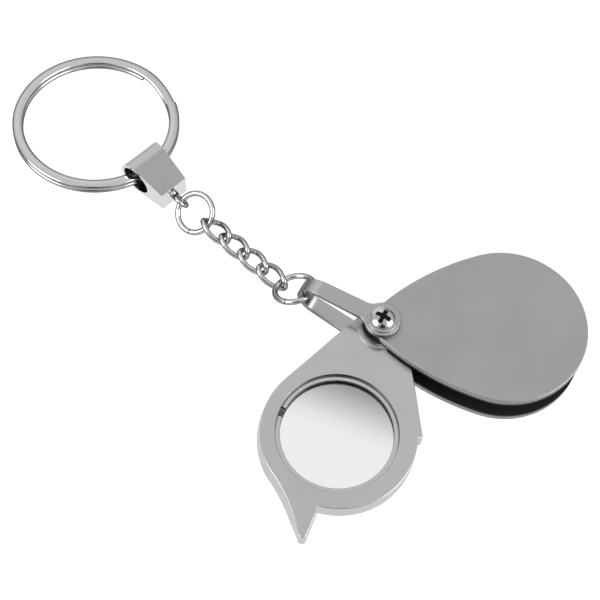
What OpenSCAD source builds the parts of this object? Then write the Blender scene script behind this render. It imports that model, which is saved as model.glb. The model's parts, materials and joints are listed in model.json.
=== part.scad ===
// Folding pocket loupe on a key chain. Millimetres, +Z up.
// Origin: foot of the pivot, centre of the barrel nut's flat underside, on the table.
// +X runs from the pivot along the cover. The lens stands open and the chain lies out straight.

/* [Cover] */
// Distance from the pivot to the centre of the cover's round end
cover_len = 20.6; // [19:0.1:22]
// Radius of the cover's round end
cover_r = 13.6; // [13:0.1:14]
// Radius of the cover's small end, at the pivot
cover_tip_r = 2.4; // [2:0.1:2.8]
// Radius of the bowed sides of the cover
cover_side_r = 44; // [36:1:60]
// Thickness of each steel cover plate
plate_t = 1.3; // [1:0.1:1.4]
// Open height between the two plates
slot_h = 5.4; // [5.2:0.1:5.6]
// Thickness of the black liner on each plate
liner_t = 0.4; // [0.3:0.1:0.5]
// Thickness of the spine strip that joins the plates
spine_t = 0.6; // [0.4:0.1:0.7]

/* [Lens frame] */
// Angle from the cover to the open lens frame
frame_open_deg = 111; // [105:1:120]
// Thickness of the lens frame
frame_t = 3.8; // [3.4:0.1:3.9]
// Distance from the pivot to the lens centre
lens_x = 20.1; // [19.8:0.1:20.3]
// Outer radius of the lens frame's ring
frame_r = 12.75; // [12.5:0.05:12.9]
// Radius of the frame's boss round the pivot
frame_boss_r = 4; // [3.5:0.1:4.2]
// Radius of the clear opening in front of the lens
opening_r = 10; // [9.5:0.1:10.2]
// Rise of each lens face over its edge
lens_sag = 0.8; // [0.5:0.05:0.9]

/* [Pivot] */
// Radius of the barrel nut that everything turns on
barrel_r = 1.5; // [1.3:0.05:1.6]
// Radius of the domed screw head
screw_head_r = 2.05; // [1.8:0.05:2.2]
// Radius of the steel friction washers beside the frame
friction_r = 4.1; // [3.6:0.1:4.3]
// Radius of the black spacers between those washers and the cover
spacer_r = 3.2; // [2.8:0.1:3.5]

/* [Clevis] */
// Direction of the clevis, from the cover's axis
clevis_deg = 152.5; // [140:0.5:165]
// Reach of the clevis, from the pivot to the outside of its bend
clevis_reach = 15.3; // [15:0.1:16]
// Width of the clevis strap at its bend
strap_w = 2.5; // [2.2:0.1:2.8]
// Width the strap gains from the bend to the eyes
strap_taper = 0.6; // [0:0.1:0.8]
// Slope of the clevis's lower leg, up towards the bend
leg_slope = 15.5; // [13:0.5:17]
// Thickness of the clevis strap
strap_t = 1; // [0.8:0.1:1.1]
// Radius of the clevis's round eyes
clevis_eye_r = 3.05; // [2.8:0.05:3.2]

/* [Chain] */
// Direction of the chain, from the cover's axis
chain_deg = 138; // [134:0.1:141]
// Wire thickness of the jump rings
jump_wire = 1; // [0.8:0.05:1.1]
// Radius of a jump ring, to the centre of its wire
jump_r = 3.45; // [3.3:0.05:3.6]
// Tilt of the lower jump ring, down from the clevis to the chain
lower_ring_tilt = 24; // [22:1:28]
// Roll of the lower jump ring about the clevis's line
lower_ring_roll = 15; // [12:1:20]
// Roll of the upper jump ring about the chain
upper_ring_roll = -35; // [-45:1:-20]
// Wire thickness of a chain link
link_wire = 0.95; // [0.8:0.05:1]
// Half the length of a link, to the centre of its wire
link_half_len = 2.95; // [2.9:0.05:3.1]
// Half the width of a link, to the centre of its wire
link_half_w = 1.45; // [1.4:0.05:1.5]
// Twist at each end of a curb link
link_twist = 50; // [45:1:52]
// Roll of the link on the lower jump ring; the rest untwist to none at the upper ring
link_roll = -30; // [-35:1:-25]
// Distance from one link to the next
link_pitch = 4.55; // [4.5:0.05:4.6]

/* [Connector] */
// Direction of the connector, from the cover's axis
connector_deg = 133.7; // [130:0.1:140]
// Length of the connector, from its narrow face to its eyelet's axis
connector_len = 6.6; // [6.4:0.1:7]
// Radius of the connector's round end
roll_r = 3.45; // [3.4:0.05:3.6]
// Wall left round the eyelet
eyelet_wall = 0.6; // [0.5:0.05:0.65]
// Half thickness of the connector's narrow end
narrow_half_t = 2.2; // [2:0.1:2.4]
// Width of the connector at its round end
roll_w = 7.4; // [7:0.1:7.8]
// Width of the connector at its narrow end
narrow_w = 5.5; // [5:0.1:6]

/* [Key ring] */
// Outside radius of the split key ring
key_ring_r = 15; // [14.8:0.1:15.2]
// Radial width of the key ring's wire
key_wire_w = 1.7; // [1.5:0.1:1.8]
// Thickness of each of the key ring's two coils
key_coil_t = 0.95; // [0.8:0.05:1]

/* [Hidden] */
$fn = 96;
cut = 0.01;          // overshoot that keeps cut faces from coinciding
run_gap = 0.05;      // running gap between moving faces
bore_gap = 0.06;     // radial clearance of a part that turns on the barrel
nut_flange_t = 0.95; // thickness of the barrel nut's flange

// Heights of the stack on the pivot, from the table up
clevis_z = nut_flange_t + run_gap;
cover_z = clevis_z + strap_t + 2 * run_gap;
slot_z = cover_z + plate_t;
slot_top = slot_z + slot_h;
cover_top = slot_top + plate_t;
mid_z = (slot_z + slot_top) / 2;
frame_z = mid_z - frame_t / 2;
frame_top = mid_z + frame_t / 2;
clevis_top_z = cover_top + 2 * run_gap;
washer_z = clevis_top_z + strap_t + run_gap;
head_z = washer_z + 0.3;

STEEL = [0.66, 0.66, 0.66];
NICKEL = [0.80, 0.80, 0.81];
BLACK = [0.08, 0.08, 0.08];

// ---- cover -------------------------------------------------------------------------------

// Outline of the cover: a round end, a small end and two bowed sides tangent to both
module cover_outline() {
    to_tip = cover_side_r - cover_tip_r;
    to_end = cover_side_r - cover_r;
    side_x = (pow(to_tip, 2) - pow(to_end, 2) + pow(cover_len, 2)) / (2 * cover_len);
    side_y = sqrt(pow(to_tip, 2) - pow(side_x, 2));
    tip_x = -side_x * cover_tip_r / to_tip;
    end_x = cover_len + (cover_len - side_x) * cover_r / to_end;
    circle(cover_tip_r);
    translate([cover_len, 0]) circle(cover_r);
    intersection() {
        translate([side_x, -side_y]) circle(cover_side_r, $fn = 360);
        translate([side_x, side_y]) circle(cover_side_r, $fn = 360);
        translate([tip_x, -cover_r]) square([end_x - tip_x, 2 * cover_r]);
    }
}

module cover_plate(z) {
    color(STEEL)
        translate([0, 0, z]) linear_extrude(plate_t) difference() {
            cover_outline();
            circle(barrel_r + 0.02);
        }
}

module cover_bottom_plate() cover_plate(cover_z);
module cover_top_plate() cover_plate(slot_top);

spine_out = cover_r - 0.1;
spine_in = spine_out - spine_t;
spine_from = 7;
spine_to = 104;

// Bent strip along the far side of the round end, between the plates
module cover_spine()
    color(BLACK)
        translate([cover_len, 0, slot_z]) rotate([0, 0, spine_from])
            rotate_extrude(angle = spine_to - spine_from)
                translate([spine_in, 0]) square([spine_t, slot_h]);

// Thin sheet on a plate's inner face, clear of the spine and the friction washers
module liner(z)
    color(BLACK)
        translate([0, 0, z]) difference() {
            linear_extrude(liner_t) cover_outline();
            translate([0, 0, -cut]) cylinder(r = friction_r + 0.3, h = liner_t + 2 * cut);
            translate([cover_len, 0, -cut]) rotate([0, 0, spine_from - 1])
                rotate_extrude(angle = spine_to - spine_from + 2)
                    translate([spine_in - 0.05, 0]) square([spine_t + 1, liner_t + 2 * cut]);
        }

module liner_bottom() liner(slot_z);
module liner_top() liner(slot_top - liner_t);

// ---- pivot -------------------------------------------------------------------------------

module disc(r, hole_r, z, t)
    translate([0, 0, z]) difference() {
        cylinder(r = r, h = t);
        translate([0, 0, -cut]) cylinder(r = hole_r, h = t + 2 * cut);
    }

friction_t = 0.3;
friction_low_z = frame_z - run_gap - friction_t;
friction_high_z = frame_top + run_gap;

module friction_washer_lower()
    color(STEEL) disc(friction_r, barrel_r + 0.03, friction_low_z, friction_t);

module friction_washer_upper()
    color(STEEL) disc(friction_r, barrel_r + 0.03, friction_high_z, friction_t);

module spacer_lower()
    color(BLACK) disc(spacer_r, barrel_r + 0.03, slot_z, friction_low_z - slot_z);

module spacer_upper()
    color(BLACK) disc(spacer_r, barrel_r + 0.03, friction_high_z + friction_t,
        slot_top - friction_high_z - friction_t);

screw_shank_r = 0.95;

module barrel_nut()
    color(NICKEL) difference() {
        union() {
            cylinder(r = 2.5, h = nut_flange_t);
            cylinder(r = barrel_r, h = washer_z - 0.02);
        }
        translate([0, 0, 2.5]) cylinder(r = screw_shank_r + 0.05, h = washer_z);
    }

module screw_washer()
    color(NICKEL) disc(2.55, screw_shank_r + 0.05, washer_z, head_z - washer_z - 0.02);

// Domed head with a cross recess, and the shank that runs down the barrel nut
module pivot_screw() {
    rim_h = 0.25;
    dome_h = 0.7;
    dome_r = (pow(screw_head_r, 2) + pow(dome_h, 2)) / (2 * dome_h);
    recess = [2.3, 0.55, 0.9];
    color(NICKEL) difference() {
        union() {
            translate([0, 0, 3.2]) cylinder(r = screw_shank_r, h = head_z - 3.2 + cut);
            translate([0, 0, head_z]) intersection() {
                cylinder(r = screw_head_r, h = rim_h + dome_h);
                translate([0, 0, rim_h + dome_h - dome_r]) sphere(dome_r);
            }
        }
        for (turn = [62, 152])
            translate([0, 0, head_z + 0.25]) rotate([0, 0, turn])
                translate([-recess.x / 2, -recess.y / 2, 0]) cube(recess);
    }
}

// ---- lens frame --------------------------------------------------------------------------

ring_centre = [lens_x, 0.3];
seat_t = 0.9;         // thickness of the ledge under the lens
lens_edge_t = 1.3;
groove_gap = 0.05;    // play of the snap ring in its groove
step_corner = [15.57, 13.04];
step_foot = [16.35, 12.1];
tail_flank_y = 1.8;
tail_tip_r = 0.7;
tail_from = -34;      // where the tail's hollow side leaves the ring
hollow_r = 26;        // radius of that hollow side

lens_z = frame_z + seat_t;
lens_lift = 0.15;     // the glass curves off its edge, so the edge stands over the ledge
snap_z = lens_z + lens_lift + lens_edge_t + 0.15;
snap_t = 0.6;

// Foot on the boss of the straight side that ends at a point p
function boss_tangent(p, side) =
    let (a = atan2(p.y, p.x) + side * acos(frame_boss_r / norm(p)))
    frame_boss_r * [cos(a), sin(a)];

// Boss, ring and the straight side between them
module frame_body_outline() {
    slope = asin((frame_r - frame_boss_r) / norm(ring_centre)) - atan2(ring_centre.y, ring_centre.x);
    away = [-sin(slope), -cos(slope)];
    circle(frame_boss_r);
    translate(ring_centre) circle(frame_r);
    polygon([
        frame_boss_r * away, ring_centre + frame_r * away, ring_centre,
        step_foot, step_corner, boss_tangent(step_corner, 1)]);
}

// Thumb spur past the round end: straight on one side, hollow on the other
module tail_outline() {
    away = [cos(tail_from), sin(tail_from)];
    hollow = ring_centre + (frame_r + hollow_r - 0.02) * away;
    tip_y = tail_flank_y - tail_tip_r;
    tip = [hollow.x - sqrt(pow(hollow_r + tail_tip_r, 2) - pow(hollow.y - tip_y, 2)), tip_y];
    // Direction from the hollow's centre to the tip, and to the ring
    to_tip = atan2(tip.y - hollow.y, tip.x - hollow.x);
    to_ring = tail_from + 180;
    polygon([
        ring_centre + (frame_r - 2) * away,
        for (i = [0 : 12]) hollow + hollow_r * [
            cos(to_ring + (to_tip - to_ring) * i / 12), sin(to_ring + (to_tip - to_ring) * i / 12)],
        for (a = [to_tip - 180 + 15 : 15 : 90]) tip + tail_tip_r * [cos(a), sin(a)],
        [tip.x, tail_flank_y],
        [lens_x + opening_r + 1, tail_flank_y]]);
}

module lens_frame()
    color(NICKEL) rotate([0, 0, -frame_open_deg]) difference() {
        translate([0, 0, frame_z]) linear_extrude(frame_t) {
            frame_body_outline();
            tail_outline();
        }
        translate([0, 0, frame_z - cut]) cylinder(r = barrel_r + bore_gap, h = frame_t + 2 * cut);
        translate([lens_x, 0, lens_z]) cylinder(r = opening_r, h = frame_t);
        translate([lens_x, 0, frame_z - cut]) cylinder(r = opening_r - 0.8, h = frame_t);
        translate([lens_x, 0, snap_z - groove_gap])
            cylinder(r = opening_r + 0.3, h = snap_t + 2 * groove_gap);
    }

// Double-convex glass, resting on the ledge
module lens() {
    r = opening_r - groove_gap;
    face_r = (r * r + lens_sag * lens_sag) / (2 * lens_sag);
    color([0.9, 0.93, 0.95, 0.4]) rotate([0, 0, -frame_open_deg])
        translate([lens_x, 0, lens_z + lens_lift]) rotate_extrude() intersection() {
            translate([0, -lens_sag]) square([r, lens_edge_t + 2 * lens_sag]);
            translate([0, face_r - lens_sag]) circle(face_r, $fn = 1440);
            translate([0, lens_edge_t + lens_sag - face_r]) circle(face_r, $fn = 1440);
        }
}

// Split spring ring that holds the lens down, its gap on the frame's outer side
module lens_snap_ring()
    color(NICKEL) rotate([0, 0, -frame_open_deg])
        translate([lens_x, 0, snap_z]) rotate([0, 0, -85])
            rotate_extrude(angle = 350) translate([opening_r - 0.75, 0]) square([1, snap_t]);

// ---- clevis ------------------------------------------------------------------------------

// The lower leg rises from a knee beside its eye, so the bend is narrower than the eyes' spacing
knee_x = 4.4;
clevis_top = clevis_top_z + strap_t;
bend_r = (clevis_top - clevis_z - (clevis_reach - knee_x) * tan(leg_slope))
    / (1 + cos(leg_slope) + (sin(leg_slope) - 1) * tan(leg_slope));
bend = [clevis_reach - bend_r, clevis_top - bend_r];
neck_r = 2.5;

function bend_point(r, a) = bend + r * [cos(a), sin(a)];

// Side view of the strap: flat lower eye, rising leg, bend, flat upper leg
module strap_side() {
    from = leg_slope - 90;
    step = (90 - from) / 24;
    polygon([
        [-clevis_eye_r - 1, clevis_z],
        [knee_x, clevis_z],
        for (i = [0 : 24]) bend_point(bend_r, from + i * step),
        [-clevis_eye_r - 1, clevis_top],
        [-clevis_eye_r - 1, clevis_top - strap_t],
        for (i = [24 : -1 : 0]) bend_point(bend_r - strap_t, from + i * step),
        [knee_x + strap_t * tan(leg_slope / 2), clevis_z + strap_t],
        [-clevis_eye_r - 1, clevis_z + strap_t]]);
}

// Plan of the strap: a round eye that flows into a tapered strap through two small hollows
module strap_plan() {
    eye_half = (strap_w + strap_taper) / 2;
    // The hollows reach 0.01 mm into the eye and the strap, so the outlines cross cleanly
    reach = clevis_eye_r + neck_r - 0.01;
    neck_y = eye_half + neck_r - 0.1;
    neck_x = sqrt(reach * reach - neck_y * neck_y);
    shoulder = (clevis_eye_r + 0.1) / reach * [neck_x, neck_y];
    circle(clevis_eye_r);
    polygon([[0, -eye_half], [clevis_reach + 1, -strap_w / 2],
        [clevis_reach + 1, strap_w / 2], [0, eye_half]]);
    difference() {
        polygon([[shoulder.x, -shoulder.y], [neck_x, -eye_half + 0.07],
            [neck_x, eye_half - 0.07], shoulder]);
        for (side = [-1, 1]) translate([neck_x, side * neck_y]) circle(neck_r);
    }
}

module clevis()
    color(NICKEL) rotate([0, 0, clevis_deg]) difference() {
        intersection() {
            rotate([90, 0, 0]) linear_extrude(3 * clevis_eye_r, center = true) strap_side();
            linear_extrude(clevis_top + 1) strap_plan();
        }
        cylinder(r = barrel_r + bore_gap, h = clevis_top + 1);
    }

// ---- chain -------------------------------------------------------------------------------

hook_gap = 1.15;      // between crossing wires' centres where two pieces hook together
ring_slack = 0.6;     // room the round ring needs beside the strap's straight edges
// The lower jump ring hangs on the inside of the clevis's bend
ring_hook = [clevis_reach - strap_t - jump_wire / 2 - ring_slack, bend.y + 0.35];

function unit(v) = v / norm(v);

// Its centre, its face's direction, and its wire's farthest point along the chain
chain_dir = [cos(chain_deg), sin(chain_deg), 0];
lower_centre = [
    (ring_hook.x + jump_r * cos(lower_ring_tilt)) * cos(clevis_deg),
    (ring_hook.x + jump_r * cos(lower_ring_tilt)) * sin(clevis_deg),
    ring_hook.y - jump_r * sin(lower_ring_tilt)];
lower_face = [
    cos(lower_ring_roll) * sin(lower_ring_tilt) * cos(clevis_deg) + sin(lower_ring_roll) * sin(clevis_deg),
    cos(lower_ring_roll) * sin(lower_ring_tilt) * sin(clevis_deg) - sin(lower_ring_roll) * cos(clevis_deg),
    cos(lower_ring_roll) * cos(lower_ring_tilt)];
chain_start = lower_centre + jump_r * unit(chain_dir - (chain_dir * lower_face) * lower_face);
first_link_s = link_half_len - hook_gap;
last_link_s = first_link_s + 3 * link_pitch;
upper_ring_s = last_link_s + first_link_s + jump_r;
eye_r = 1.25;
eye_wire = 0.8;
eye_s = upper_ring_s + jump_r - hook_gap + eye_r;
connector_z = roll_r + 0.02;
stem_z = 3.1;         // height of the swivel's axis, a little under the connector's middle
chain_fall = asin((chain_start.z - stem_z) / eye_s);

module on_chain(s, roll = 0)
    translate(chain_start) rotate([0, 0, chain_deg]) rotate([0, chain_fall, 0])
        translate([s, 0, 0]) rotate([roll, 0, 0]) children();

// Closed ring of round wire, cut through once
module jump_ring(gap_deg)
    color(NICKEL) rotate([0, 0, gap_deg])
        rotate_extrude(angle = 357) translate([jump_r, 0]) circle(jump_wire / 2, $fn = 32);

module jump_ring_lower()
    rotate([0, 0, clevis_deg]) translate([ring_hook.x, 0, ring_hook.y])
        rotate([0, lower_ring_tilt, 0]) rotate([lower_ring_roll, 0, 0])
            translate([jump_r, 0, 0]) jump_ring(100);

module jump_ring_upper() on_chain(upper_ring_s, upper_ring_roll) jump_ring(110);

// Skin of a closed tube: rings of points along a loop, each ring joined to the next
module loop_skin(rings) {
    n = len(rings);
    m = len(rings[0]);
    points = [for (ring = rings) each ring];
    faces = [for (i = [0 : n - 1], j = [0 : m - 1])
        let (a = i * m + j, b = i * m + (j + 1) % m,
            c = (i + 1) % n * m + j, d = (i + 1) % n * m + (j + 1) % m)
        each [[a, c, b], [b, c, d]]];
    polyhedron(points, faces);
}

// Centre line of a curb link: a squarish oval, twisted along its length
function link_line(t) =
    let (x = link_half_len * cos(t), s = sin(t),
        y = link_half_w * sign(s) * pow(abs(s), 0.7), twist = link_twist * x / link_half_len)
    [x, y * cos(twist), y * sin(twist)];

function link_ring(t, sides) =
    let (p = link_line(t), along = unit(link_line(t + 2) - link_line(t - 2)),
        twist = link_twist * p.x / link_half_len,
        face = [0, -sin(twist), cos(twist)],
        up = unit(face - (face * along) * along), out = cross(along, up))
    [for (j = [0 : sides - 1])
        p + link_wire / 2 * (cos(j * 360 / sides) * out + sin(j * 360 / sides) * up)];

module chain_link(index)
    color(NICKEL) on_chain(first_link_s + index * link_pitch, link_roll * (3 - index) / 3) {
        steps = 40;
        sides = 8;
        loop_skin([for (i = [0 : steps - 1]) link_ring((i + 0.5) * 360 / steps, sides)]);
    }

module chain_link_4() chain_link(0);
module chain_link_3() chain_link(1);
module chain_link_2() chain_link(2);
module chain_link_1() chain_link(3);

// ---- connector ---------------------------------------------------------------------------

stem_r = 0.6;
stem_head_r = 1.2;
end_wall = 1.4;       // wall of the connector that the swivel stem turns in
pocket_end = 4.2;     // how far the pocket behind that wall runs

eye_back = eye_r + eye_wire / 2 + 0.15;   // from the eye's centre to the connector's face
eye_centre = chain_start
    + eye_s * [cos(chain_fall) * chain_dir.x, cos(chain_fall) * chain_dir.y, -sin(chain_fall)];

module on_connector()
    translate([eye_centre.x + eye_back * cos(connector_deg),
        eye_centre.y + eye_back * sin(connector_deg), 0])
        rotate([0, 0, connector_deg]) children();

// Eye for the jump ring, with a stem and a headed end that turn in the connector
module swivel_eye() {
    head_x = end_wall + run_gap;
    color(NICKEL) on_connector() translate([0, 0, stem_z]) {
        translate([-eye_back, 0, 0]) rotate([upper_ring_roll + 90, 0, 0])
            rotate_extrude() translate([eye_r, 0]) circle(eye_wire / 2, $fn = 24);
        translate([eye_r - eye_back, 0, 0]) rotate([0, 90, 0])
            cylinder(r = stem_r, h = eye_back - eye_r + head_x + 0.4);
        translate([head_x, 0, 0]) rotate([0, 90, 0]) cylinder(r = stem_head_r, h = 0.8);
    }
}

// Side view of the wedge: a round end and a narrow flat end
module connector_side() {
    // The flanks run 0.01 mm inside the tangents, so they cross the round end cleanly
    r = roll_r - 0.01;
    lean = asin(r / norm([connector_len, narrow_half_t])) - atan2(narrow_half_t, connector_len);
    touch = [connector_len - r * sin(lean), r * cos(lean)];
    translate([connector_len, 0]) circle(roll_r);
    polygon([[0, -narrow_half_t], [touch.x, -touch.y], [connector_len, 0], touch, [0, narrow_half_t]]);
}

module connector_plan()
    polygon([[0, -narrow_w / 2], [connector_len + roll_r + cut, -roll_w / 2],
        [connector_len + roll_r + cut, roll_w / 2], [0, narrow_w / 2]]);

module key_connector()
    color(NICKEL) on_connector() difference() {
        translate([0, 0, connector_z]) intersection() {
            rotate([90, 0, 0]) translate([0, 0, -roll_w]) linear_extrude(2 * roll_w) connector_side();
            translate([0, 0, -roll_r - 1]) linear_extrude(2 * roll_r + 2) connector_plan();
        }
        translate([connector_len, roll_w, connector_z]) rotate([90, 0, 0])
            cylinder(r = roll_r - eyelet_wall, h = 2 * roll_w);
        translate([-cut, 0, stem_z]) rotate([0, 90, 0])
            cylinder(r = stem_r + bore_gap, h = end_wall + 2 * cut);
        translate([end_wall, 0, stem_z]) rotate([0, 90, 0])
            cylinder(r = stem_head_r + 0.1, h = pocket_end - end_wall);
    }

// ---- key ring ----------------------------------------------------------------------------

key_mid_r = key_ring_r - key_wire_w / 2;
coil_gap = 0.12;
jog_deg = 18;         // half the arc over which the wire crosses from one coil to the other
jog_at = 84;          // where the wire crosses, from the connector's side of the ring
key_hook = [connector_len + 0.6, connector_z - 0.75];   // the wire's middle, inside the eyelet
key_roll = 5;         // lean of the ring to one side, as it lies on the table
key_shift = 0.4;      // how far the ring hangs to the other side
// Pitch that brings the ring's lowest edge down to the table
key_pitch = asin((key_hook.y - key_coil_t - coil_gap / 2
    - (key_mid_r - 0.6) * sin(key_roll)) / key_mid_r);

// Height of the wire's centre after it has turned through t degrees
function key_z(t) =
    let (u = min(1, max(0, (t - 360 + jog_deg) / (2 * jog_deg))))
    (key_coil_t + coil_gap) * (u * u * (3 - 2 * u) - 0.5);

// Rounded oblong section of the key ring's wire
function key_section(t) =
    let (w = key_wire_w / 2, h = key_coil_t / 2, c = 0.3)
    [for (q = [[w, h - c], [w - c, h], [c - w, h], [-w, h - c],
        [-w, c - h], [c - w, -h], [w - c, -h], [w, c - h]])
        [(key_mid_r + q.x) * cos(t), (key_mid_r + q.x) * sin(t), key_z(t) + q.y]];

// Flat wire coiled nearly twice round, with one crossing between the coils
module key_coil() {
    steps = 96;
    first = jog_deg;
    last = 720 - jog_deg;
    rings = [for (i = [0 : steps]) key_section(first + (last - first) * i / steps)];
    m = len(rings[0]);
    sides = [for (i = [0 : steps - 1], j = [0 : m - 1])
        let (a = i * m + j, b = i * m + (j + 1) % m, c = a + m, d = b + m)
        each [[a, b, c], [b, d, c]]];
    caps = [[for (j = [m - 1 : -1 : 0]) j], [for (j = [0 : m - 1]) steps * m + j]];
    polyhedron([for (ring = rings) each ring], concat(sides, caps));
}

module key_ring()
    color(NICKEL) on_connector() translate([key_hook.x, 0, key_hook.y])
        rotate([0, key_pitch, 0]) rotate([key_roll, 0, 0])
            translate([key_mid_r, key_shift, 0]) rotate([0, 0, 180 + jog_at]) key_coil();

cover_bottom_plate();
cover_top_plate();
cover_spine();
liner_bottom();
liner_top();
spacer_lower();
spacer_upper();
friction_washer_lower();
friction_washer_upper();
barrel_nut();
screw_washer();
pivot_screw();
lens_frame();
lens();
lens_snap_ring();
clevis();
jump_ring_lower();
chain_link_4();
chain_link_3();
chain_link_2();
chain_link_1();
jump_ring_upper();
swivel_eye();
key_connector();
key_ring();
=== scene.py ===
"""Looks of the folding pocket loupe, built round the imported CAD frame.

Lengths in the mesh code are millimetres; put() turns them into metres.
"""

import json
import math
from collections import defaultdict

import bmesh
import bpy
import numpy as np
from mathutils import Matrix, Vector
from mathutils.geometry import tessellate_polygon


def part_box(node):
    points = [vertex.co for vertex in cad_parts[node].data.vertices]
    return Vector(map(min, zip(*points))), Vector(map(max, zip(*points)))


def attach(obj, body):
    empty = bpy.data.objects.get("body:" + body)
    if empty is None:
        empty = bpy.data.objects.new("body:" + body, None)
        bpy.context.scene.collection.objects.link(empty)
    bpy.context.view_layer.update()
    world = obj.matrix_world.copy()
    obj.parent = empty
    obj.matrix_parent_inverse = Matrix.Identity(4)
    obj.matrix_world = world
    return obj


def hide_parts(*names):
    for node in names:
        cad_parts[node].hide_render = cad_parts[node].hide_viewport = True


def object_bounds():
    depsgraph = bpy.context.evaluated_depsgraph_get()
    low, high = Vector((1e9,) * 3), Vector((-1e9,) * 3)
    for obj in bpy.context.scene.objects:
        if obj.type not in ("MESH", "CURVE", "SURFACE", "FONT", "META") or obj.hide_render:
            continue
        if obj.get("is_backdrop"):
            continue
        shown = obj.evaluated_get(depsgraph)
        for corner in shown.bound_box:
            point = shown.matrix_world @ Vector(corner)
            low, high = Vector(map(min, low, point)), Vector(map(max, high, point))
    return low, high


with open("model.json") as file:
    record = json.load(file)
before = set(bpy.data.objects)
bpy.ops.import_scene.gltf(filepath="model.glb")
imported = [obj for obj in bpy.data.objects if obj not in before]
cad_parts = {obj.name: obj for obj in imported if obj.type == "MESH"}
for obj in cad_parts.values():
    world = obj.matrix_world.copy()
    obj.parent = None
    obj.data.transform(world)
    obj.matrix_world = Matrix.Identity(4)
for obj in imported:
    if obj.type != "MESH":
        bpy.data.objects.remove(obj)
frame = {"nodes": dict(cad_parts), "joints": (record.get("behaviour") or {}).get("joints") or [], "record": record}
cad_low, cad_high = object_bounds()

MM = 0.001
NODES = frame["nodes"]
BODY_OF = {n: b for b, ns in frame["record"]["behaviour"]["bodies"].items() for n in ns}
SLOT_OF = {s["node"]: s["material_slot"] for s in frame["record"]["subparts"]}
JOINTS = {j["name"]: j for j in frame["joints"]}


# ---- reading shapes from the frame -----------------------------------------------------

def points(node):
    """Vertices of a CAD node in mm, each place once."""
    co = np.array([v.co[:] for v in NODES[node].data.vertices], float) / MM
    return np.unique(co.round(4), axis=0)


def box(node):
    """Lowest and highest corner of a CAD node in mm."""
    low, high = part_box(node)
    return np.array(low) / MM, np.array(high) / MM


def joint(name):
    """Place in mm and direction of a joint's axis."""
    return np.array(JOINTS[name]["pos_m"], float) / MM, np.array(JOINTS[name]["axis"], float)


def unit(v):
    return np.array(v, float) / np.linalg.norm(v)


def principal(p):
    """Middle of a cloud of points and its axes as rows, longest first, right-handed."""
    centre = p.mean(0)
    axes = np.linalg.svd(p - centre, full_matrices=False)[2]
    axes[2] = np.cross(axes[0], axes[1])
    return centre, axes


def outlines(node, z):
    """Outlines of a CAD node's flat faces at height z, largest first, solid on the left."""
    flat_within = 2e-3
    mesh = NODES[node].data
    follow = defaultdict(list)
    edges = set()
    for face in mesh.polygons:
        corners = [mesh.vertices[i].co / MM for i in face.vertices]
        if any(abs(c.z - z) > flat_within for c in corners):
            continue
        keys = [(round(c.x, 3), round(c.y, 3)) for c in corners]
        for a, b in zip(keys, keys[1:] + keys[:1]):
            if a != b:
                if (b, a) in edges:
                    edges.remove((b, a))
                else:
                    edges.add((a, b))
    for a, b in edges:
        follow[a].append(b)
    loops = []
    while follow:
        start = next(iter(sorted(follow)))
        loop, here = [], start
        while here in follow:
            loop.append(here)
            after = follow[here].pop()
            if not follow[here]:
                del follow[here]
            here = after
        loops.append(np.array(loop, float))
    loops.sort(key=lambda q: -np.abs(area(q)))
    if loops and area(loops[0]) < 0:      # a face seen from below runs the other way
        loops = [q[::-1] for q in loops]
    return loops


def area(loop):
    """Area inside a loop, negative when the loop runs clockwise."""
    x, y = loop[:, 0], loop[:, 1]
    return 0.5 * float(np.sum(x * np.roll(y, -1) - np.roll(x, -1) * y))


def step(x, start, end):
    """Smooth rise from 0 at start to 1 at end."""
    t = min(1.0, max(0.0, (x - start) / (end - start)))
    return t * t * (3 - 2 * t)


PIVOT = joint("lens_frame_swing")[0][:2]
LENS_LOW, LENS_HIGH = box("lens")
LENS_CENTRE = (LENS_LOW + LENS_HIGH) / 2
OPEN_TURN = math.atan2(LENS_CENTRE[1], LENS_CENTRE[0])     # the way the open frame points
CHAIN_POS, CHAIN_DIR = joint("swivel_spin")


# ---- mesh building ---------------------------------------------------------------------

NEAR_AXIS = 0.004    # turned pieces with lids stop this far from their axis
ON_EXTREME = 0.01    # a CAD point this close to the furthest one counts as level with it


def put(name, verts, faces, node, material, sharp=30):
    """Makes a piece from vertices in mm; it stands for its CAD node and rides on its body."""
    mesh = bpy.data.meshes.new(name)
    mesh.from_pydata([tuple(np.array(v, float) * MM) for v in verts], [], faces)
    return finish_piece(name, mesh, node, material, sharp)


def finish_piece(name, mesh, node, material, sharp):
    """Shades a mesh smooth up to sharp degrees, parents it to its body and hides its CAD node."""
    mesh.validate()
    bm = bmesh.new()
    bm.from_mesh(mesh)
    bmesh.ops.recalc_face_normals(bm, faces=bm.faces)
    bm.to_mesh(mesh)
    bm.free()
    mesh.shade_smooth()
    mesh.set_sharp_from_angle(angle=math.radians(sharp))
    piece = bpy.data.objects.new(name, mesh)
    bpy.context.scene.collection.objects.link(piece)
    weighted = piece.modifiers.new("weighted", "WEIGHTED_NORMAL")
    weighted.keep_sharp = True
    weighted.weight = 90
    mesh.materials.append(material)
    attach(piece, BODY_OF[node])
    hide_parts(node)
    SLOT_OF[node]
    return piece


def net(rows, columns, round_rows=False, round_columns=True):
    """Quads of a grid of points numbered row by row."""
    faces = []
    for i in range(rows if round_rows else rows - 1):
        for j in range(columns if round_columns else columns - 1):
            a, b = i * columns, (i + 1) % rows * columns
            k = (j + 1) % columns
            faces.append((a + j, a + k, b + k, b + j))
    return faces


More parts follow.
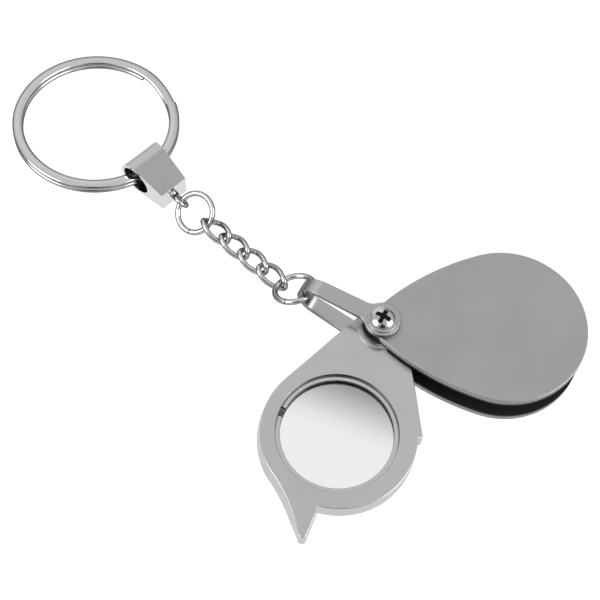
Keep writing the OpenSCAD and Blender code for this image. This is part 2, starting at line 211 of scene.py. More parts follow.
def soften(polygon, radius, steps=4):
    """Closed 2D outline with each corner turned into a curve that starts radius away from it.
    A list of radii gives each corner its own, and 0 leaves a corner sharp."""
    out = []
    n = len(polygon)
    radii = radius if isinstance(radius, (list, tuple)) else [radius] * n
    for i, here in enumerate(polygon):
        p = np.array(here, float)
        r = radii[i]
        if r <= 0:
            out.append(p)
            continue
        to_last = unit(np.array(polygon[i - 1], float) - p)
        to_next = unit(np.array(polygon[(i + 1) % n], float) - p)
        for k in range(steps + 1):
            t = k / steps
            out.append(p + r * ((1 - t) ** 2 * to_last + t ** 2 * to_next))
    return np.array(out)


def turned(name, node, material, outline, centre, seg=96, sharp=30):
    """Ring of material turned from a closed outline of (radius, height) about a vertical axis."""
    turns = np.arange(seg) * 2 * math.pi / seg
    verts = [(centre[0] + r * math.cos(a), centre[1] + r * math.sin(a), z)
             for r, z in outline for a in turns]
    return put(name, verts, net(len(outline), seg, True), node, material, sharp)


def lids(rows, seg):
    """Faces that close the first and last ring of a net."""
    return [tuple(range(seg)), tuple(range((rows - 1) * seg, rows * seg))[::-1]]


def mark_shade(piece, values):
    """Gives each vertex its value of the attribute by which metal() paints shade."""
    attribute = piece.data.attributes.new("shade", "FLOAT", "POINT")
    attribute.data.foreach_set("value", np.array(values, np.float32))


def tube(line, section, closed):
    """Vertices and faces of a swept wire; line holds (place, sideways, up) for each station."""
    verts = [p + u * across + v * up for p, across, up in line for u, v in section]
    m, n = len(section), len(line)
    faces = net(n, m, closed)
    if not closed:
        faces += lids(n, m)
    return verts, faces


def wire_section(radius, sides=24):
    return [(radius * math.cos(a), radius * math.sin(a))
            for a in np.arange(sides) * 2 * math.pi / sides]


def inset(loop, amount):
    """Loop moved inwards by amount, corners mitred; amount may differ from point to point."""
    before, after = np.roll(loop, 1, 0), np.roll(loop, -1, 0)
    e1, e2 = loop - before, after - loop
    e1 /= np.linalg.norm(e1, axis=1)[:, None]
    e2 /= np.linalg.norm(e2, axis=1)[:, None]
    inward = np.stack([-(e1[:, 1] + e2[:, 1]), e1[:, 0] + e2[:, 0]], 1)
    size = np.linalg.norm(inward, axis=1)
    inward /= size[:, None]
    longest_mitre = 1.6
    mitre = np.minimum(2 / size, longest_mitre)
    return loop + inward * (mitre * amount)[:, None]


def slab(name, node, material, loop, edge, holes, flare=None, sharp=30):
    """Flat piece: an outline whose edge follows (inset, height) pairs from bottom to top, and
    turned holes, each (centre, [(radius, height) from top to bottom], sides).
    flare(loop) says how far the wall leans out at its foot."""
    z_low, z_high = edge[0][1], edge[-1][1]
    verts, faces = [], []
    for depth, z in edge:
        amount = np.full(len(loop), float(depth))
        if flare is not None:
            amount = amount - flare(loop) * (z_high - z) / (z_high - z_low)
        verts += [(x, y, z) for x, y in inset(loop, amount)]
    n = len(loop)
    faces += net(len(edge), n)
    tops = [list(range((len(edge) - 1) * n, len(edge) * n))]
    bottoms = [list(range(n))]
    for (cx, cy), profile, seg in holes:
        first = len(verts)
        turns = -np.arange(seg) * 2 * math.pi / seg
        verts += [(cx + r * math.cos(a), cy + r * math.sin(a), z) for r, z in profile for a in turns]
        faces += [tuple(first + i for i in f) for f in net(len(profile), seg)]
        tops.append(list(range(first, first + seg)))
        bottoms.append(list(range(len(verts) - seg, len(verts))))
    for rims in (tops, bottoms):
        flat = [i for rim in rims for i in rim]
        for tri in tessellate_polygon([[Vector(verts[i]) for i in rim] for rim in rims]):
            faces.append(tuple(flat[i] for i in tri))
    piece = put(name, verts, faces, node, material, sharp)
    level = 0.9999
    for face in piece.data.polygons:
        if abs(face.normal.z) > level:
            face.use_smooth = False
    return piece


def rounded_edge(z0, z1, r, steps=4):
    """(inset, height) pairs of a plate's edge with both corners rounded."""
    arc = [math.pi / 2 * k / steps for k in range(steps + 1)]
    low = [(r * (1 - math.sin(a)), z0 + r * (1 - math.cos(a))) for a in arc]
    high = [(r * (1 - math.cos(a)), z1 - r * (1 - math.sin(a))) for a in arc]
    return low + high


def softened(name, node, material, width, steps=3, angle=25, sharp=40):
    """Copy of a CAD node with its edges of more than angle degrees rounded to a width."""
    bm = bmesh.new()
    bm.from_mesh(NODES[node].data)
    bmesh.ops.scale(bm, vec=(1 / MM,) * 3, verts=bm.verts)
    bmesh.ops.remove_doubles(bm, verts=bm.verts, dist=2e-4)
    bmesh.ops.dissolve_degenerate(bm, dist=1e-4, edges=bm.edges)
    bmesh.ops.recalc_face_normals(bm, faces=bm.faces)
    bmesh.ops.dissolve_limit(
        bm, angle_limit=math.radians(0.6), verts=bm.verts, edges=bm.edges)
    hard = [e for e in bm.edges
            if len(e.link_faces) == 2 and e.calc_face_angle() > math.radians(angle)]
    bmesh.ops.bevel(
        bm, geom=hard, offset=width, offset_type="OFFSET", segments=steps,
        profile=0.5, affect="EDGES", clamp_overlap=True)
    bmesh.ops.remove_doubles(bm, verts=bm.verts, dist=5e-4)
    bmesh.ops.dissolve_degenerate(bm, dist=2e-4, edges=bm.edges)
    bmesh.ops.scale(bm, vec=(MM,) * 3, verts=bm.verts)
    mesh = bpy.data.meshes.new(name)
    bm.to_mesh(mesh)
    bm.free()
    return finish_piece(name, mesh, node, material, sharp)


# ---- materials -------------------------------------------------------------------------

def nodes_of(name):
    material = bpy.data.materials.new(name)
    material.use_nodes = True
    tree = material.node_tree
    return material, tree, tree.nodes["Principled BSDF"]


def add(tree, kind, **values):
    node = tree.nodes.new(kind)
    for key, value in values.items():
        if key.startswith("in_"):
            node.inputs[key[3:].replace("_", " ")].default_value = value
        else:
            setattr(node, key, value)
    return node


def grain(tree, scale, stretch=(1, 1, 1), turn=0.0, detail=4.0, roughness=0.6):
    """Noise in the piece's own coordinates; scale is in waves per millimetre."""
    where = add(tree, "ShaderNodeTexCoord")
    mapping = add(tree, "ShaderNodeMapping")
    mapping.inputs["Rotation"].default_value = (0, 0, turn)
    mapping.inputs["Scale"].default_value = stretch
    noise = add(tree, "ShaderNodeTexNoise", in_Scale=scale / MM, in_Detail=detail,
                in_Roughness=roughness)
    tree.links.new(where.outputs["Object"], mapping.inputs["Vector"])
    tree.links.new(mapping.outputs["Vector"], noise.inputs["Vector"])
    return noise.outputs["Fac"]


def spread(tree, value, low, high, start=0.35, end=0.65):
    """Noise value stretched to run from low to high."""
    node = add(tree, "ShaderNodeMapRange", clamp=True)
    for key, number in (("From Min", start), ("From Max", end), ("To Min", low), ("To Max", high)):
        node.inputs[key].default_value = number
    tree.links.new(value, node.inputs["Value"])
    return node.outputs["Result"]


def edge_mask(tree, radius):
    """1 where a rounded normal differs from the true one, along a piece's edges."""
    bevel = add(tree, "ShaderNodeBevel", samples=4, in_Radius=radius * MM)
    true = add(tree, "ShaderNodeNewGeometry")
    dot = add(tree, "ShaderNodeVectorMath", operation="DOT_PRODUCT")
    tree.links.new(bevel.outputs["Normal"], dot.inputs[0])
    tree.links.new(true.outputs["Normal"], dot.inputs[1])
    return spread(tree, dot.outputs["Value"], 1.0, 0.0, 0.88, 0.995)


def mixed(tree, factor, a, b):
    node = add(tree, "ShaderNodeMix", data_type="FLOAT")
    for key, value in ((0, factor), (2, a), (3, b)):
        if isinstance(value, (int, float)):
            node.inputs[key].default_value = value
        else:
            tree.links.new(value, node.inputs[key])
    return node.outputs[0]


def grey(tree, value):
    node = add(tree, "ShaderNodeCombineColor")
    for key in ("Red", "Green", "Blue"):
        tree.links.new(value, node.inputs[key])
    return node.outputs["Color"]


def bumped(tree, shader, value, depth, strength=1.0, after=None):
    node = add(tree, "ShaderNodeBump", in_Strength=strength, in_Distance=depth * MM)
    tree.links.new(value, node.inputs["Height"])
    if after is not None:
        tree.links.new(after, node.inputs["Normal"])
    tree.links.new(node.outputs["Normal"], shader.inputs["Normal"])
    return node.outputs["Normal"]


def metal(name, shade, rough, grain_scale, stretch, turn, depth, wear=0.5, dark=None, wall=1.0,
          rim=1.0):
    """Metal with a directional grain, cloudy handling marks and edges worn smooth.
    The colour of upright walls is painted wall times as bright, painted shade below 1 and painted light above it;
    what turns away from the eye is painted rim times as bright, a painted dark reflection along outlines; the
    attribute named by dark paints shade into a recess."""
    material, tree, shader = nodes_of(name)
    shader.inputs["Metallic"].default_value = 1.0
    fine = grain(tree, grain_scale, stretch, turn)
    cloud = grain(tree, 0.12, detail=3.0)
    edges = edge_mask(tree, 0.22)
    base = mixed(tree, spread(tree, cloud, 0.0, 1.0), shade * 0.96, shade * 1.03)
    base = mixed(tree, spread(tree, fine, 0.0, 0.5), base, shade * 0.9)
    base = mixed(tree, edges, base, min(1.0, shade + 0.12 * wear))
    # painted light and shade: the colour of upright walls is scaled by wall, darker below 1 and lighter above 1
    if wall != 1:
        own = add(tree, "ShaderNodeTexCoord")
        parts = add(tree, "ShaderNodeSeparateXYZ")
        tree.links.new(own.outputs["Normal"], parts.inputs[0])
        level = add(tree, "ShaderNodeMath", operation="ABSOLUTE")
        tree.links.new(parts.outputs["Z"], level.inputs[0])
        base = mixed(tree, spread(tree, level.outputs[0], 1.0, 0.0, 0.3, 0.7), base, shade * wall)
    # painted reflection: the colour darkens to rim times where the surface turns away from the eye, standing for
    # dark surroundings
    if rim != 1:
        facing = add(tree, "ShaderNodeLayerWeight", in_Blend=0.5)
        base = mixed(tree, spread(tree, facing.outputs["Facing"], 0.0, 1.0, 0.16, 0.5), base,
                     shade * rim)
    # painted shade: where the attribute named by dark is set, the colour is blackened towards 0.02
    if dark:
        attribute = add(tree, "ShaderNodeAttribute", attribute_name=dark)
        base = mixed(tree, attribute.outputs["Fac"], base, 0.02)
    tree.links.new(grey(tree, base), shader.inputs["Base Color"])
    roughness = mixed(tree, spread(tree, cloud, 0.0, 1.0), rough * 0.85, rough * 1.15)
    roughness = mixed(tree, spread(tree, fine, 0.0, 0.6), roughness, rough * 1.4)
    roughness = mixed(tree, edges, roughness, rough * (1 - 0.5 * wear))
    tree.links.new(roughness, shader.inputs["Roughness"])
    bumped(tree, shader, fine, depth)
    return material


def black(name, shade, rough, grain_scale, depth):
    """Black sheet or enamel: soft sheen, fine texture, edges rubbed a little paler."""
    material, tree, shader = nodes_of(name)
    fine = grain(tree, grain_scale)
    cloud = grain(tree, 0.3)
    edges = edge_mask(tree, 0.15)
    base = mixed(tree, spread(tree, cloud, 0.0, 1.0), shade * 0.7, shade * 1.4)
    base = mixed(tree, edges, base, shade * 3)
    tree.links.new(grey(tree, base), shader.inputs["Base Color"])
    tree.links.new(mixed(tree, spread(tree, fine, 0.0, 1.0), rough, rough * 1.25),
                   shader.inputs["Roughness"])
    bumped(tree, shader, fine, depth)
    return material


def glass(name):
    """Clear glass with faint wipe marks; its colour is painted dimmer towards the side where it would mirror the
    dark of the room, a painted reflection; it lets light through to what lies under it."""
    material, tree, shader = nodes_of(name)
    shader.inputs["Transmission Weight"].default_value = 1.0
    shader.inputs["IOR"].default_value = 1.5
    where = add(tree, "ShaderNodeTexCoord")
    offset = add(tree, "ShaderNodeVectorMath", operation="SUBTRACT")
    tree.links.new(where.outputs["Object"], offset.inputs[0])
    offset.inputs[1].default_value = Vector(LENS_CENTRE) * MM
    dot = add(tree, "ShaderNodeVectorMath", operation="DOT_PRODUCT")
    tree.links.new(offset.outputs["Vector"], dot.inputs[0])
    dim_side = (0.35, 0.94, 0)
    dot.inputs[1].default_value = dim_side
    clear_shade, dim_shade = 0.80, 0.22
    clear_to, dim_from = -0.4 * MM, 11.4 * MM
    # painted reflection: the glass's colour dims towards dim_side, standing for the dark of the room it mirrors
    painted_reflection_tone = spread(tree, dot.outputs["Value"], clear_shade, dim_shade, clear_to, dim_from)
    painted_reflection_tone.node.interpolation_type = "SMOOTHSTEP"
    tree.links.new(grey(tree, painted_reflection_tone), shader.inputs["Base Color"])
    wipe = grain(tree, 0.25, (1, 3, 1), 0.6)
    tree.links.new(spread(tree, wipe, 0.0, 0.035, 0.5, 0.8), shader.inputs["Roughness"])
    clear = add(tree, "ShaderNodeBsdfTransparent")
    clear.inputs["Color"].default_value = (0.86, 0.865, 0.87, 1)
    path = add(tree, "ShaderNodeLightPath")
    mix = add(tree, "ShaderNodeMixShader")
    tree.links.new(path.outputs["Is Shadow Ray"], mix.inputs["Fac"])
    tree.links.new(shader.outputs["BSDF"], mix.inputs[1])
    tree.links.new(clear.outputs["BSDF"], mix.inputs[2])
    tree.links.new(mix.outputs["Shader"], tree.nodes["Material Output"].inputs["Surface"])
    return material


# Painted light and shade in these metals: wall below 1 paints shade on upright walls and above 1 paints light on
# them, rim paints dark reflections along outlines, and dark names the attribute that paints shade into recesses
SATIN = metal("satin_steel", 0.58, 0.34, 5.0, (1, 7, 1), 0.35, 0.0012, wear=0.7, wall=0.6)
POLISHED = metal("polished_frame", 0.79, 0.17, 4.0, (1, 6, 1), OPEN_TURN, 0.0006, dark="shade",
                 wall=0.92)
NICKEL = metal("nickel_plate", 0.64, 0.09, 3.0, (1, 1, 1), 0.0, 0.0004, wall=1.5)
GROUND = metal("washer_steel", 0.72, 0.22, 4.0, (1, 5, 1), 0.8, 0.0008)
STRAP = metal("strap_steel", 0.66, 0.16, 5.0, (1, 7, 1), 2.66, 0.0007, rim=0.3)
WIRE = metal("nickel_wire", 0.92, 0.08, 3.0, (1, 1, 1), 0.0, 0.0004, rim=0.10)
SPRING = metal("spring_steel", 0.92, 0.09, 3.0, (1, 1, 1), 0.0, 0.0005, wall=0.38, rim=0.12)
RETAINER = metal("retainer_steel", 0.84, 0.10, 3.0, (1, 1, 1), 0.0, 0.0005, rim=0.12)
SCREW = metal("screw_steel", 0.72, 0.14, 3.0, (1, 1, 1), 0.0, 0.0005, dark="shade")
ENAMEL = black("black_enamel", 0.012, 0.32, 6.0, 0.001)
SHEET = black("black_sheet", 0.010, 0.5, 8.0, 0.003)
WASHER = black("black_washer", 0.012, 0.42, 8.0, 0.002)
GLASS = glass("lens_glass")

for node in ("liner_bottom", "liner_top"):
    NODES[node].data.materials.clear()
    NODES[node].data.materials.append(SHEET)


# ---- cover and pivot -------------------------------------------------------------------

def cover_plate(node, rounding=0.16, chamfer=0.1):
    """Plate with a rounded edge and a chamfered bore at the pivot."""
    low, high = box(node)
    loops = outlines(node, high[2])
    bore = np.linalg.norm(loops[1] - PIVOT, axis=1).max()
    hole = [(bore + chamfer, high[2]), (bore, high[2] - chamfer), (bore, low[2] + chamfer),
            (bore + chamfer, low[2])]
    slab(node + "_pressed", node, SATIN, loops[0], rounded_edge(low[2], high[2], rounding),
         [(PIVOT, hole, 64)])


cover_plate("cover_bottom_plate")
cover_plate("cover_top_plate")
softened("cover_spine_strip", "cover_spine", ENAMEL, 0.12)


def disc_radii(node):
    reach = np.linalg.norm(points(node)[:, :2] - PIVOT, axis=1)
    return reach.min(), reach.max()


for node, material, edge in (("spacer_lower", WASHER, 0.08), ("spacer_upper", WASHER, 0.08),
                             ("friction_washer_lower", GROUND, 0.1),
                             ("friction_washer_upper", GROUND, 0.1),
                             ("screw_washer", NICKEL, 0.09)):
    low, high = box(node)
    hole, rim = disc_radii(node)
    turned(node + "_disc", node, material,
           soften([(hole, low[2]), (rim, low[2]), (rim, high[2]), (hole, high[2])], edge), PIVOT)


def barrel_nut():
    """Flange and barrel with the screw's bore, and a chamfer at the flange's rim."""
    p = points("barrel_nut")
    reach = np.linalg.norm(p[:, :2] - PIVOT, axis=1)
    heights = sorted(set(p[:, 2].round(3)))
    foot, flange, bore_end, top = heights[0], heights[1], heights[2], heights[-1]
    rim = reach.max()
    mouth = reach[p[:, 2] > top - ON_EXTREME]
    barrel, bore = mouth.max(), mouth.min()
    axis_r = 0.001                # the flange all but closes on its axis
    corners = [(axis_r, foot), (rim, foot), (rim, flange), (barrel, flange), (barrel, top),
               (bore, top), (bore, bore_end), (axis_r, bore_end)]
    rounding = [0, 0.2, 0.12, 0.05, 0.08, 0.05, 0.05, 0]
    turned("barrel_nut_turned", "barrel_nut", NICKEL, soften(corners, rounding), PIVOT)


barrel_nut()


def pivot_screw():
    """Domed head with a stamped cross recess, on a plain shank. Attribute shade marks the recess, where shade is
    painted.
    """
    p = points("pivot_screw")
    low, high = box("pivot_screw")
    reach = np.linalg.norm(p[:, :2] - PIVOT, axis=1)
    head_r = reach.max()
    rim = p[reach > head_r - ON_EXTREME, 2]
    head_z, rim_z = rim.min(), rim.max()
    shank_r = reach[p[:, 2] < head_z - 0.5].max()
    lost_peak = 0.03              # the recess takes the peak of the CAD dome
    rise = high[2] + lost_peak - rim_z
    dome_r = (head_r ** 2 + rise ** 2) / (2 * rise)
    rings, seg = 44, 160
    rim_gap = 0.09
    slot_turns = (math.radians(62), math.radians(152))
    slot_top, slot_foot = 0.40, 0.27          # half widths of a slot
    slot_end_top, slot_end_foot = 1.36, 1.14  # its reach from the middle
    slot_depth, slot_slope = 0.62, 0.2
    verts, shade = [], []

    def dome(r):
        return rim_z + rise - dome_r + math.sqrt(dome_r ** 2 - r * r)

    turns = np.arange(seg) * 2 * math.pi / seg
    for i in range(rings + 1):
        r = NEAR_AXIS + (head_r - rim_gap - NEAR_AXIS) * i / rings
        for a in turns:
            x, y = r * math.cos(a), r * math.sin(a)
            arm = 0.0
            for t in slot_turns:
                u = abs(x * math.cos(t) + y * math.sin(t))
                v = abs(y * math.cos(t) - x * math.sin(t))
                inside = step(v, slot_top, slot_foot) * step(u, slot_end_top, slot_end_foot)
                arm = max(arm, inside)
            depth = arm * (slot_depth - slot_slope * r)
            verts.append((PIVOT[0] + x, PIVOT[1] + y, dome(r) - depth))
            shade.append(arm)
    edge = [(head_r - 0.03, rim_z + 0.02), (head_r, rim_z - 0.06), (head_r, head_z + 0.06),
            (head_r - 0.06, head_z), (shank_r + 0.08, head_z), (shank_r, head_z - 0.08),
            (shank_r, low[2] + 0.15), (shank_r - 0.15, low[2]), (NEAR_AXIS, low[2])]
    for r, z in edge:
        verts += [(PIVOT[0] + r * math.cos(a), PIVOT[1] + r * math.sin(a), z) for a in turns]
        shade += [0.0] * seg
    rows = len(verts) // seg
    faces = net(rows, seg) + lids(rows, seg)
    piece = put("pivot_screw_domed", verts, faces, "pivot_screw", SCREW, sharp=60)
    # painted shade in the cross recess
    mark_shade(piece, shade)


pivot_screw()


# ---- lens frame ------------------------------------------------------------------------

def lens_frame():
    """Teardrop frame with flared walls, a stepped lens opening and a groove. Attribute shade marks the walls of
    the opening, where shade is painted for the dark they mirror."""
    node = "lens_frame"
    low, high = box(node)
    top, foot = high[2], low[2]
    loops = outlines(node, top)
    outer = loops[0]
    bore = min(np.linalg.norm(q - PIVOT, axis=1).max() for q in loops[1:])
    middle = LENS_CENTRE[:2]
    p = points(node)
    reach = np.linalg.norm(p[:, :2] - middle, axis=1)
    lens_r = (LENS_HIGH[0] - LENS_LOW[0]) / 2
    near_lens = reach < lens_r + 0.65
    inner, inner_r = p[near_lens], reach[near_lens]
    groove_r, ledge_r = inner_r.max(), inner_r.min()
    seat_r = inner_r[inner[:, 2] > top - ON_EXTREME].min()
    seat_z = sorted(set(inner[:, 2].round(3)))[1]
    groove = sorted(set(inner[inner_r > groove_r - 0.02, 2].round(3)))
    trailing = np.array([math.sin(OPEN_TURN), -math.cos(OPEN_TURN)])
    most_flare, full_flare_at, tip_size = 0.5, 0.7, 2.5

    def flare(loop):
        """The wall on the trailing side leans out towards its foot, but not at the spur's tip."""
        e = np.roll(loop, -1, 0) - np.roll(loop, 1, 0)
        outward = np.stack([e[:, 1], -e[:, 0]], 1) / np.linalg.norm(e, axis=1)[:, None]
        facing = np.clip(outward @ trailing / full_flare_at, 0, 1)
        tip = loop[np.argmax(np.linalg.norm(loop - PIVOT, axis=1))]
        near_tip = np.exp(-(np.linalg.norm(loop - tip, axis=1) / tip_size) ** 2)
        return most_flare * facing * facing * (3 - 2 * facing) * (1 - near_tip)

    opening = [(seat_r + 0.12, top), (seat_r + 0.04, top - 0.03), (seat_r, top - 0.12),
               (seat_r, groove[1] + 0.02), (seat_r + 0.02, groove[1]), (groove_r, groove[1]),
               (groove_r, groove[0]), (seat_r + 0.02, groove[0]), (seat_r, groove[0] - 0.02),
               (seat_r, seat_z), (ledge_r + 0.06, seat_z), (ledge_r, seat_z - 0.06),
               (ledge_r, foot + 0.15), (ledge_r + 0.15, foot)]
    pivot_hole = [(bore + 0.12, top), (bore, top - 0.12), (bore, foot + 0.12), (bore + 0.12, foot)]
    piece = slab("lens_frame_polished", node, POLISHED, outer, rounded_edge(foot, top, 0.14),
                 [(PIVOT, pivot_hole, 64), (middle, opening, 160)], flare, sharp=35)
    co = np.array([v.co[:] for v in piece.data.vertices]) / MM
    reach = np.linalg.norm(co[:, :2] - middle, axis=1)
    in_opening = (reach < groove_r + 0.05) & (co[:, 2] < top - 0.02)
    # painted shade on the walls of the lens opening
    opening_shade = 0.75
    mark_shade(piece, np.where(in_opening, opening_shade, 0.0))


lens_frame()


def lens():
    """Double-convex glass with a ground edge."""
    p = points("lens")
    reach = np.linalg.norm(p[:, :2] - LENS_CENTRE[:2], axis=1)
    r = reach.max()
    rim = p[reach > r - ON_EXTREME, 2]
    z0, z1 = rim.min(), rim.max()
    sag = LENS_HIGH[2] - z1
    face_r = (r * r + sag * sag) / (2 * sag)
    rings, seg = 24, 128
    rim_gap = 0.05
    radii = [NEAR_AXIS + (r - rim_gap - NEAR_AXIS) * i / rings for i in range(rings + 1)]

    def rise(x):
        return sag - face_r + math.sqrt(face_r ** 2 - x * x)

    outline = [(x, z1 + rise(x)) for x in radii] + [(r, z1 - 0.04), (r, z0 + 0.04)]
    outline += [(x, z0 - rise(x)) for x in reversed(radii)]
    turns = np.arange(seg) * 2 * math.pi / seg
    verts = [(LENS_CENTRE[0] + x * math.cos(a), LENS_CENTRE[1] + x * math.sin(a), z)
             for x, z in outline for a in turns]
    faces = net(len(outline), seg) + lids(len(outline), seg)
    put("lens_glass", verts, faces, "lens", GLASS, sharp=50)


lens()


def snap_ring():
    """Split flat ring; its gap is where the CAD ring has none of its points."""
    p = points("lens_snap_ring")
    flat = p[:, :2] - LENS_CENTRE[:2]
    reach = np.linalg.norm(flat, axis=1)
    angles = np.unique(np.arctan2(flat[:, 1], flat[:, 0]).round(4))
    steps = np.diff(np.append(angles, angles[0] + 2 * math.pi))
    k = int(np.argmax(steps))
    start, end = angles[(k + 1) % len(angles)], angles[k]
    if end < start:
        end += 2 * math.pi
    section = soften([(reach.min(), p[:, 2].min()), (reach.max(), p[:, 2].min()),
                      (reach.max(), p[:, 2].max()), (reach.min(), p[:, 2].max())], 0.14, 3)
    stations = 180
    axis, up = LENS_CENTRE * (1, 1, 0), np.array([0, 0, 1.0])
    line = []
    for i in range(stations + 1):
        a = start + (end - start) * i / stations
        line.append((axis, np.array([math.cos(a), math.sin(a), 0]), up))
    verts, faces = tube(line, section, False)
    put("lens_snap_ring_sprung", verts, faces, "lens_snap_ring", RETAINER)


snap_ring()


# ---- clevis, chain and connector -------------------------------------------------------

softened("clevis_strap", "clevis", STRAP, 0.14)
softened("key_connector_pressed", "key_connector", NICKEL, 0.2)


def jump_ring(node, wire=0.5, gap=3, seg=120):
    """Round wire bent to a ring, its two ends gap degrees apart where the CAD ring's are."""
    p = points(node)
    centre, axes = principal(p)
    flat = (p - centre) @ axes.T
    reach = np.linalg.norm(flat[:, :2], axis=1)
    middle = (reach.max() + reach.min()) / 2
    angles = np.sort(np.arctan2(flat[:, 1], flat[:, 0]))
    angles = angles[np.append(True, np.diff(angles) > 0.01)]
    steps = np.diff(np.append(angles, angles[0] + 2 * math.pi))
    k = int(np.argmin(np.abs(steps - math.radians(gap))))
    start, end = angles[k] + steps[k], angles[k] + 2 * math.pi
    line = []
    for i in range(seg + 1):
        a = start + (end - start) * i / seg
        out = math.cos(a) * axes[0] + math.sin(a) * axes[1]
        line.append((centre + middle * out, out, axes[2]))
    verts, faces = tube(line, wire_section(wire), False)
    put(node + "_wire", verts, faces, node, WIRE, sharp=50)


jump_ring("jump_ring_lower")
jump_ring("jump_ring_upper")


def curb_link(name, node, half_len=2.95, half_w=1.45, wire=0.475, twist=50, roundness=0.7):
    """Curb link: a squarish oval of round wire, twisted along its length."""
    centre, axes = principal(points(node))
    stations, near = 96, 0.03

    def twisted(x):
        return math.radians(twist) * x / half_len

    def at(t):
        x, s = half_len * math.cos(t), math.sin(t)
        y = half_w * math.copysign(abs(s) ** roundness, s)
        turn = twisted(x)
        return np.array([x, y * math.cos(turn), y * math.sin(turn)])

    line = []
    for i in range(stations):
        t = (i + 0.5) * 2 * math.pi / stations
        p, way = at(t), unit(at(t + near) - at(t - near))
        turn = twisted(p[0])
        face = np.array([0, -math.sin(turn), math.cos(turn)])
        top = unit(face - (face @ way) * way)
        side = np.cross(way, top)
        line.append((centre + p @ axes, side @ axes, top @ axes))
    verts, faces = tube(line, wire_section(wire, 20), True)
    put(name, verts, faces, node, WIRE, sharp=60)


for i in (1, 2, 3, 4):
    curb_link(f"chain_link_{i}_curb", f"chain_link_{i}")


def swivel_eye():
    """Small wire eye on a stem that ends in a flat head inside the connector."""
    wire, eye_before, head_past, widest_stem = 0.4, -0.75, 0.8, 0.7
    p = points("swivel_eye")
    face, way = CHAIN_POS, unit(CHAIN_DIR)
    along = (p - face) @ way
    eye = p[along < eye_before]
    normal = np.linalg.svd(eye - eye.mean(0), full_matrices=False)[2][2]
    normal = unit(normal - (normal @ way) * way)
    across = np.cross(normal, way)
    near = along.min()
    radius = (eye - face) @ across
    middle = (radius.max() - radius.min()) / 2 - wire
    centre = face + way * (near + wire + middle)
    stations = 72
    line = []
    for i in range(stations):
        a = i * 2 * math.pi / stations
        out = math.cos(a) * way + math.sin(a) * across
        line.append((centre + middle * out, out, normal))
    verts, faces = tube(line, wire_section(wire, 20), True)

    off_axis = np.linalg.norm(p - face - np.outer(along, way), axis=1)
    head = off_axis[along > head_past].max()
    head_from = along[(along > head_past) & (off_axis > head - 0.02)].min()
    head_to = along.max()
    stem = off_axis[(np.abs(along) < head_from) & (off_axis < widest_stem)].max()
    start = near + 1.5 * wire + 2 * middle
    profile = [(NEAR_AXIS, start), (stem * 1.15, start + 0.02), (stem, start + 0.35),
               (stem, head_from - 0.06), (stem + 0.06, head_from), (head - 0.08, head_from),
               (head, head_from + 0.08), (head, head_to - 0.08), (head - 0.08, head_to),
               (NEAR_AXIS, head_to)]
    first, seg = len(verts), 48
    for r, s in profile:
        for a in np.arange(seg) * 2 * math.pi / seg:
            verts.append(face + way * s + r * (math.cos(a) * across + math.sin(a) * normal))
    for f in net(len(profile), seg) + lids(len(profile), seg):
        faces.append(tuple(first + i for i in f))
    put("swivel_eye_turned", verts, faces, "swivel_eye", WIRE, sharp=50)


swivel_eye()


def key_ring(coil_gap=0.12, jog=18, jog_at=84, fullness=0.86):
    """Oval spring wire coiled nearly twice round. It crosses from one coil to the other within
    jog degrees each side of its two ends, which meet jog_at degrees round from the chain."""
    p = points("key_ring")
    centre, axes = principal(p)
    normal = axes[2] if axes[2][2] > 0 else -axes[2]
    toward = unit(CHAIN_DIR)
    x_axis = unit(toward - (toward @ normal) * normal)
    y_axis = np.cross(normal, x_axis)
    rim_width = 0.8
    flat = (p - centre) @ np.array([x_axis, y_axis]).T
    from_centre = np.linalg.norm(flat, axis=1)
    rim = flat[from_centre > from_centre.max() - rim_width]
    fit = np.linalg.lstsq(np.c_[2 * rim, np.ones(len(rim))], (rim ** 2).sum(1), rcond=None)[0]
    middle = centre + fit[0] * x_axis + fit[1] * y_axis
    reach = np.linalg.norm(flat - fit[:2], axis=1)
    wide = reach.max() - reach.min()
    mean_r = (reach.max() + reach.min()) / 2
    height = (p - middle) @ normal
    thick = (height.max() - height.min() - coil_gap) / 2
    middle = middle + (height.max() + height.min()) / 2 * normal
    sides = 28
    section = []
    for a in np.arange(sides) * 2 * math.pi / sides:
        c, q = math.cos(a), math.sin(a)
        section.append((wide / 2 * math.copysign(abs(c) ** fullness, c),
                        thick / 2 * math.copysign(abs(q) ** fullness, q)))
    line = []
    stations = 300
    for i in range(stations + 1):
        t = jog + (720 - 2 * jog) * i / stations
        z = (thick + coil_gap) * (step(t, 360 - jog, 360 + jog) - 0.5)
        a = math.radians(t + 180 + jog_at)
        out = math.cos(a) * x_axis + math.sin(a) * y_axis
        line.append((middle + mean_r * out + z * normal, out, normal))
    verts, faces = tube(line, section, False)
    put("key_ring_coiled", verts, faces, "key_ring", SPRING, sharp=50)


key_ring()


# ---- stage, light and camera -----------------------------------------------------------

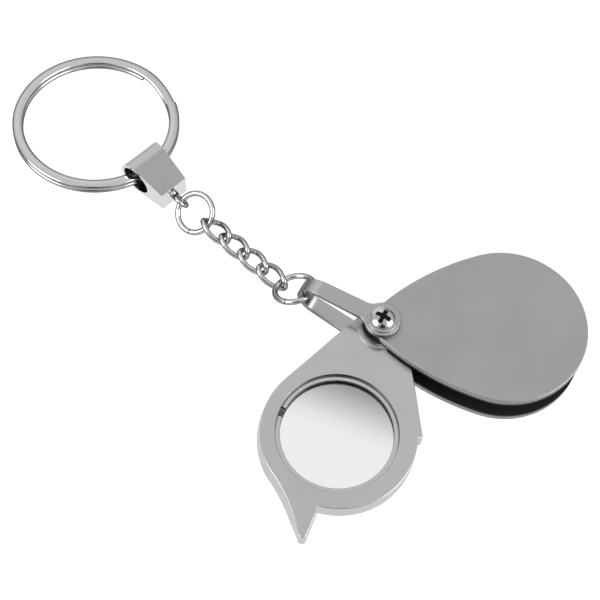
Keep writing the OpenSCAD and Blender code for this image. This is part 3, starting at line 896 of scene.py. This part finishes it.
def floor():
    """Pale table, low enough for the chain to hang at its limits. The camera, also through the
    lens, sees it nearly white, and polished metal sees it greyer."""
    reach, drop = 3.0, 0.06
    to_camera, to_metal = 0.86, 0.50
    mesh = bpy.data.meshes.new("table")
    z = cad_low.z - drop
    corners = [(-reach, -reach, z), (reach, -reach, z), (reach, reach, z), (-reach, reach, z)]
    mesh.from_pydata(corners, [], [(0, 1, 2, 3)])
    table = bpy.data.objects.new("table", mesh)
    bpy.context.scene.collection.objects.link(table)
    material, tree, shader = nodes_of("pale_table")
    shader.inputs["Base Color"].default_value = (0.3, 0.3, 0.3, 1)
    shader.inputs["Roughness"].default_value = 0.8
    shader.inputs["Specular IOR Level"].default_value = 0.1
    shader.inputs["Emission Color"].default_value = (1, 1, 1, 1)
    path = add(tree, "ShaderNodeLightPath")
    seen = add(tree, "ShaderNodeMath", operation="MAXIMUM")
    tree.links.new(path.outputs["Is Camera Ray"], seen.inputs[0])
    tree.links.new(path.outputs["Is Transmission Ray"], seen.inputs[1])
    glow = mixed(tree, seen.outputs[0], to_metal, to_camera)
    tree.links.new(glow, shader.inputs["Emission Strength"])
    mesh.materials.append(material)
    table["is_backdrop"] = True


floor()


def camera_frame():
    """Place and axes of the camera: a steep view from the front, rolled a little."""
    turn, tilt, roll = math.radians(-92.5313), math.radians(64.4070), math.radians(3.94)
    away = 0.241638
    off_middle = Vector((0.0025163, -0.0029966, -0.0040532))
    target = (cad_low + cad_high) / 2 + off_middle
    back = Vector((math.cos(tilt) * math.cos(turn), math.cos(tilt) * math.sin(turn),
                   math.sin(tilt)))
    level = Vector((0, 0, 1)).cross(back).normalized()
    upright = back.cross(level)
    right = level * math.cos(roll) + upright * math.sin(roll)
    up = upright * math.cos(roll) - level * math.sin(roll)
    return target + away * back, right, up, back


place, right, up, back = camera_frame()
camera_data = bpy.data.cameras.new("camera")
camera_data.sensor_width = 36
camera_data.lens = 84
camera_data.clip_start, camera_data.clip_end = 0.01, 10
camera = bpy.data.objects.new("camera", camera_data)
camera.matrix_world = Matrix((
    (right.x, up.x, back.x, place.x), (right.y, up.y, back.y, place.y),
    (right.z, up.z, back.z, place.z), (0, 0, 0, 1)))
bpy.context.scene.collection.objects.link(camera)
bpy.context.scene.camera = camera


def studio():
    """Soft studio: grey ceiling, pale backdrop low down with a dark gap between them, haze
    behind, a lamp on each side, and the dark of the room in front and of the camera itself.
    A camera ray that meets nothing sees white."""
    world = bpy.data.worlds.new("studio")
    bpy.context.scene.world = world
    world.use_nodes = True
    tree = world.node_tree
    background = tree.nodes["Background"]
    where = add(tree, "ShaderNodeTexCoord")

    def patch(direction, inner, outer):
        """1 within inner degrees of a direction, 0 past outer."""
        dot = add(tree, "ShaderNodeVectorMath", operation="DOT_PRODUCT")
        tree.links.new(where.outputs["Generated"], dot.inputs[0])
        dot.inputs[1].default_value = Vector(direction).normalized()
        return spread(tree, dot.outputs["Value"], 0.0, 1.0,
                      math.cos(math.radians(outer)), math.cos(math.radians(inner)))

    parts = add(tree, "ShaderNodeSeparateXYZ")
    tree.links.new(where.outputs["Generated"], parts.inputs[0])
    height = parts.outputs["Z"]
    ceiling, backdrop, haze, gap, lamp = 0.58, 0.45, 0.8, 0.03, 2.8
    value = mixed(tree, spread(tree, height, 0.0, 1.0, 0.26, 0.40), gap, ceiling)
    value = mixed(tree, spread(tree, height, 1.0, 0.0, 0.06, 0.20), value, backdrop)
    behind, front = (-0.30, 0.87, 0.40), (0, -0.72, 0.69)
    value = mixed(tree, patch(behind, 20, 36), value, haze)
    for side in (-1, 1):
        value = mixed(tree, patch((side * 0.70, -0.25, 0.67), 15, 20), value, lamp)
    value = mixed(tree, patch(front, 15, 22), value, gap)
    value = mixed(tree, patch(back, 3, 6), value, gap)
    path = add(tree, "ShaderNodeLightPath")
    value = mixed(tree, path.outputs["Is Camera Ray"], value, 1.0)
    tree.links.new(grey(tree, value), background.inputs["Color"])
    background.inputs["Strength"].default_value = 1.0


studio()

bpy.context.scene.view_settings.view_transform = "Standard"

low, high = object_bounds()
